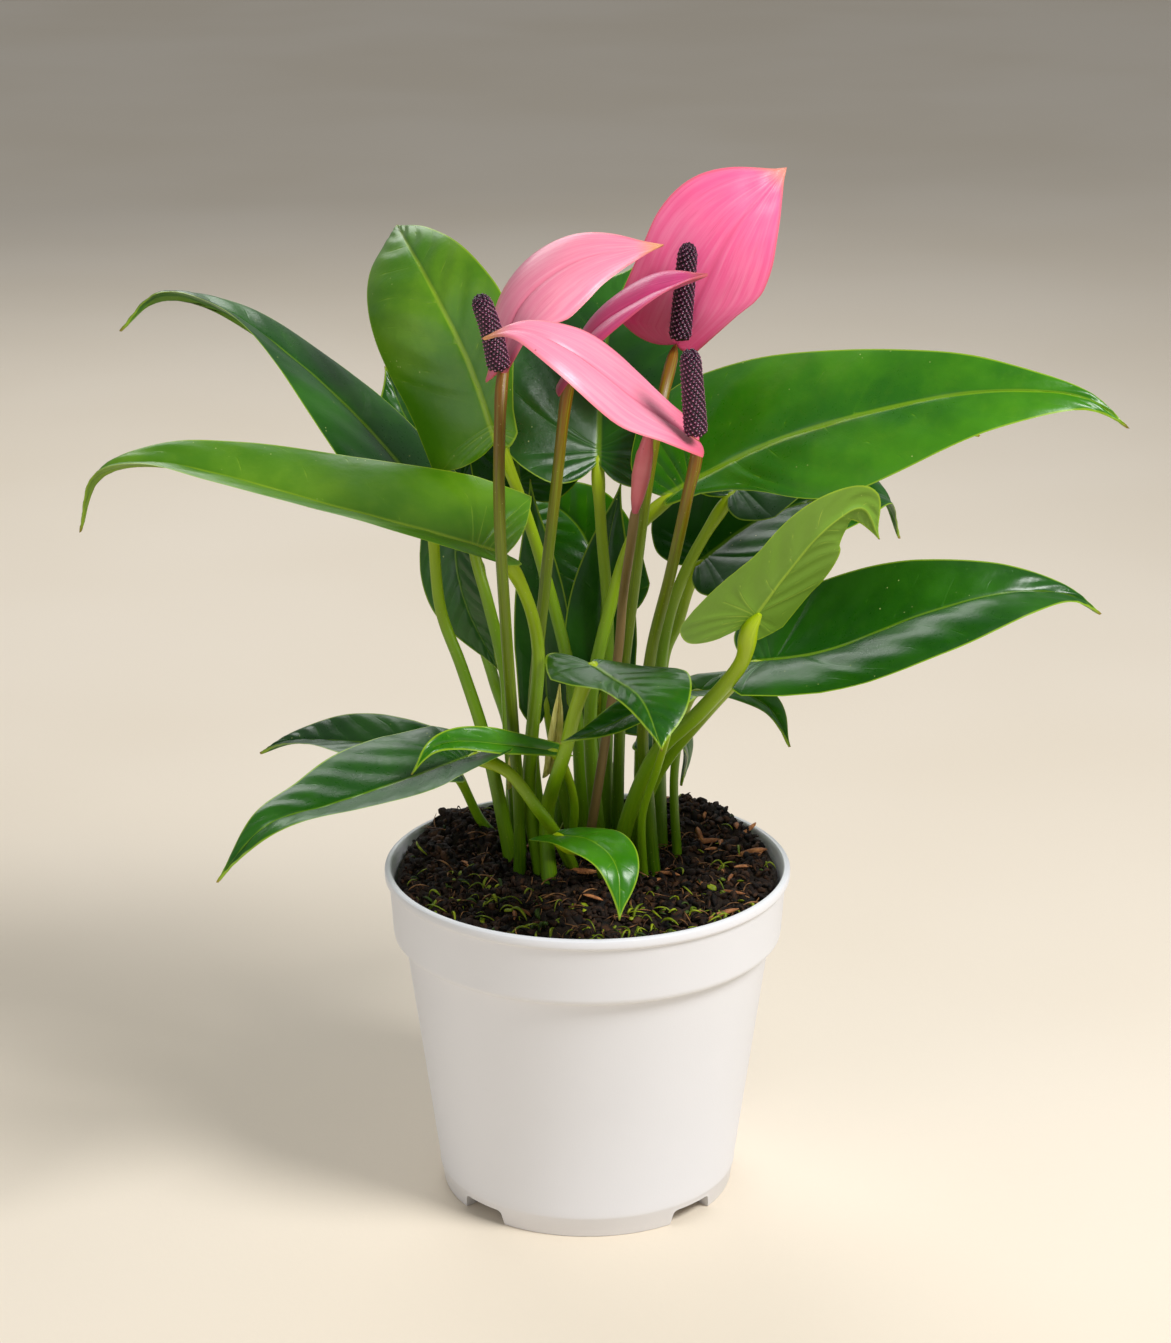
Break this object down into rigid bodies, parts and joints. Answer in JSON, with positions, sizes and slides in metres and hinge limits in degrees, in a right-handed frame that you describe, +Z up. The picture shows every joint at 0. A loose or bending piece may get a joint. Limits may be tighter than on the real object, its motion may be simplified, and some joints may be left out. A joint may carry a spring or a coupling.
{
  "type": "potted flowering plant",
  "caption": "Flowering pot plant with heart-shaped glossy leaves and pink hooded flowers on thin stalks, in a round tapered white nursery pot.",
  "frame": {"origin": "middle of the pot on the plane it stands on", "axes": "+Z up, the plant's fullest side and the front of the pot face -Y, +X to the right seen from the front"},
  "size_m": [0.296, 0.158, 0.3052],
  "materials": {
    "pot_plastic": "white moulded plastic, satin",
    "potting_mix": "dark fibrous peat with bark chips, damp",
    "leaf_dark": "dark green leaf, waxy gloss, pale veins",
    "leaf_stalk": "yellow-green leaf stalk, satin",
    "leaf_light": "young light green leaf, waxy gloss",
    "leaf_mid": "mid green leaf, waxy gloss, pale veins",
    "leaf_pale": "pale underside of a leaf, satin",
    "spathe_pink": "pink waxy spathe with deeper veins",
    "flower_stalk": "olive to red-brown flower stalk, satin",
    "spadix": "dark purple spadix with pale florets",
    "spathe_rose": "deep rose young spathe, waxy",
    "sheath": "dry papery sheath, pale straw to brown"
  },
  "bodies": {
    "root": {"pot": "pot_plastic", "potting_mix": "potting_mix", "leaf_01_blade": "leaf_dark", "leaf_01_stalk": "leaf_stalk", "leaf_02_blade": "leaf_light", "leaf_02_stalk": "leaf_stalk", "leaf_03_blade": "leaf_light", "leaf_03_stalk": "leaf_stalk", "leaf_04_blade": "leaf_mid", "leaf_04_stalk": "leaf_stalk", "leaf_05_blade": "leaf_dark", "leaf_05_stalk": "leaf_stalk", "leaf_06_blade": "leaf_pale", "leaf_06_stalk": "leaf_stalk", "leaf_07_blade": "leaf_dark", "leaf_07_stalk": "leaf_stalk", "leaf_08_blade": "leaf_dark", "leaf_08_stalk": "leaf_stalk", "leaf_09_blade": "leaf_dark", "leaf_09_stalk": "leaf_stalk", "leaf_10_blade": "leaf_dark", "leaf_10_stalk": "leaf_stalk", "leaf_11": "leaf_dark", "leaf_12_blade": "leaf_mid", "leaf_12_stalk": "leaf_stalk", "leaf_13_blade": "leaf_dark", "leaf_13_stalk": "leaf_stalk", "leaf_14_blade": "leaf_dark", "leaf_14_stalk": "leaf_stalk", "leaf_15_blade": "leaf_dark", "leaf_15_stalk": "leaf_stalk", "leaf_16_blade": "leaf_dark", "leaf_16_stalk": "leaf_stalk", "leaf_17_blade": "leaf_mid", "leaf_17_stalk": "leaf_stalk", "leaf_18_blade": "leaf_mid", "leaf_18_stalk": "leaf_stalk", "leaf_19_blade": "leaf_dark", "leaf_19_stalk": "leaf_stalk", "leaf_20": "leaf_mid", "leaf_21_blade": "leaf_dark", "leaf_21_stalk": "leaf_stalk", "leaf_22": "leaf_dark", "leaf_23": "leaf_dark", "flower_1_spathe": "spathe_pink", "flower_1_stalk": "flower_stalk", "flower_1_spadix": "spadix", "flower_2_spathe": "spathe_pink", "flower_2_stalk": "flower_stalk", "flower_2_spadix": "spadix", "flower_3_spathe": "spathe_pink", "flower_3_stalk": "flower_stalk", "flower_3_spadix": "spadix", "flower_4_spathe": "spathe_rose", "flower_4_stalk": "flower_stalk", "flower_4_spadix": "spadix", "bud_spathe": "spathe_rose", "bud_stalk": "flower_stalk", "sheath_1": "sheath", "sheath_2": "sheath"}
  },
  "joints": []
}
